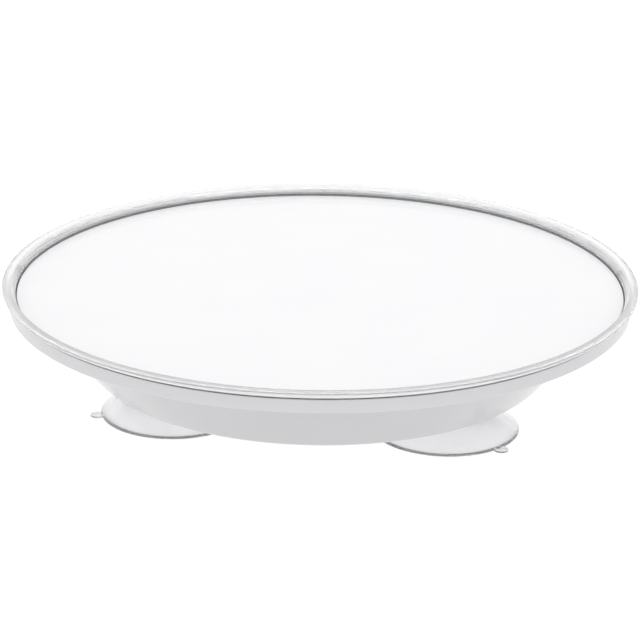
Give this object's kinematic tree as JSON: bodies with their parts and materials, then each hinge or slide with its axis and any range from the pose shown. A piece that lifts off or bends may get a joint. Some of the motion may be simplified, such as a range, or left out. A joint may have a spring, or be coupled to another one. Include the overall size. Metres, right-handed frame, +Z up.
{
  "type": "lazy susan turntable",
  "caption": "Round turntable with a white plate inside a clear lip, turning on a ball bearing over a bowl-shaped base that grips a worktop with clear suction cups.",
  "frame": {"origin": "on the surface that it stands on, on the axis that the platter turns on (bounding box bottom centre)", "axes": "+Z up along the turning axis and out of the tray; -Y is the front, with two cups; the third cup is at +Y"},
  "size_m": [0.3, 0.3, 0.0588],
  "materials": {
    "gloss_white_plate": "mirror-smooth gloss white, a trace cool",
    "white_plastic": "moulded white plastic, soft gloss",
    "clear_acrylic": "clear polished acrylic",
    "grey_gasket": "matt grey seal",
    "clear_pvc": "clear soft PVC with a faint lilac tint",
    "steel_race": "pressed, lightly oiled steel",
    "steel_ball": "polished bearing steel",
    "cage_plastic": "natural nylon, matt",
    "zinc_screw": "bright zinc plate"
  },
  "bodies": {
    "base": {"base_bowl": "white_plastic", "lower_race": "steel_race", "lower_race_screw_1": "zinc_screw", "lower_race_screw_2": "zinc_screw", "lower_race_screw_3": "zinc_screw", "lower_race_screw_4": "zinc_screw", "pivot_screw": "zinc_screw", "pivot_washer": "zinc_screw"},
    "turntable": {"platter": "white_plastic", "top_plate": "gloss_white_plate", "lip_ring": "clear_acrylic", "lip_gasket": "grey_gasket", "upper_race": "steel_race", "upper_race_screw_1": "zinc_screw", "upper_race_screw_2": "zinc_screw", "upper_race_screw_3": "zinc_screw", "upper_race_screw_4": "zinc_screw"},
    "cage": {"ball_cage": "cage_plastic", "ball_01": "steel_ball", "ball_02": "steel_ball", "ball_03": "steel_ball", "ball_04": "steel_ball", "ball_05": "steel_ball", "ball_06": "steel_ball", "ball_07": "steel_ball", "ball_08": "steel_ball", "ball_09": "steel_ball", "ball_10": "steel_ball", "ball_11": "steel_ball", "ball_12": "steel_ball", "ball_13": "steel_ball", "ball_14": "steel_ball", "ball_15": "steel_ball", "ball_16": "steel_ball"},
    "cup_left": {"suction_cup_left": "clear_pvc"},
    "cup_right": {"suction_cup_right": "clear_pvc"},
    "cup_rear": {"suction_cup_rear": "clear_pvc"}
  },
  "joints": [
    {"name": "turntable_spin", "type": "hinge", "parent": "base", "child": "turntable", "pos_m": [0, 0, 0.0485], "axis": [0, 0, 1], "continuous": true},
    {"name": "cage_spin", "type": "hinge", "parent": "base", "child": "cage", "pos_m": [0, 0, 0.0405], "axis": [0, 0, 1], "continuous": true},
    {"name": "cup_left_swivel", "type": "hinge", "parent": "base", "child": "cup_left", "pos_m": [-0.06383, -0.03685, 0.0189], "axis": [0, 0, 1], "continuous": true},
    {"name": "cup_right_swivel", "type": "hinge", "parent": "base", "child": "cup_right", "pos_m": [0.06383, -0.03685, 0.0189], "axis": [0, 0, 1], "continuous": true},
    {"name": "cup_rear_swivel", "type": "hinge", "parent": "base", "child": "cup_rear", "pos_m": [0, 0.0737, 0.0189], "axis": [0, 0, 1], "continuous": true}
  ],
  "couplings": [
    {"joint": "cage_spin", "follows": "turntable_spin", "ratio": 0.5}
  ]
}
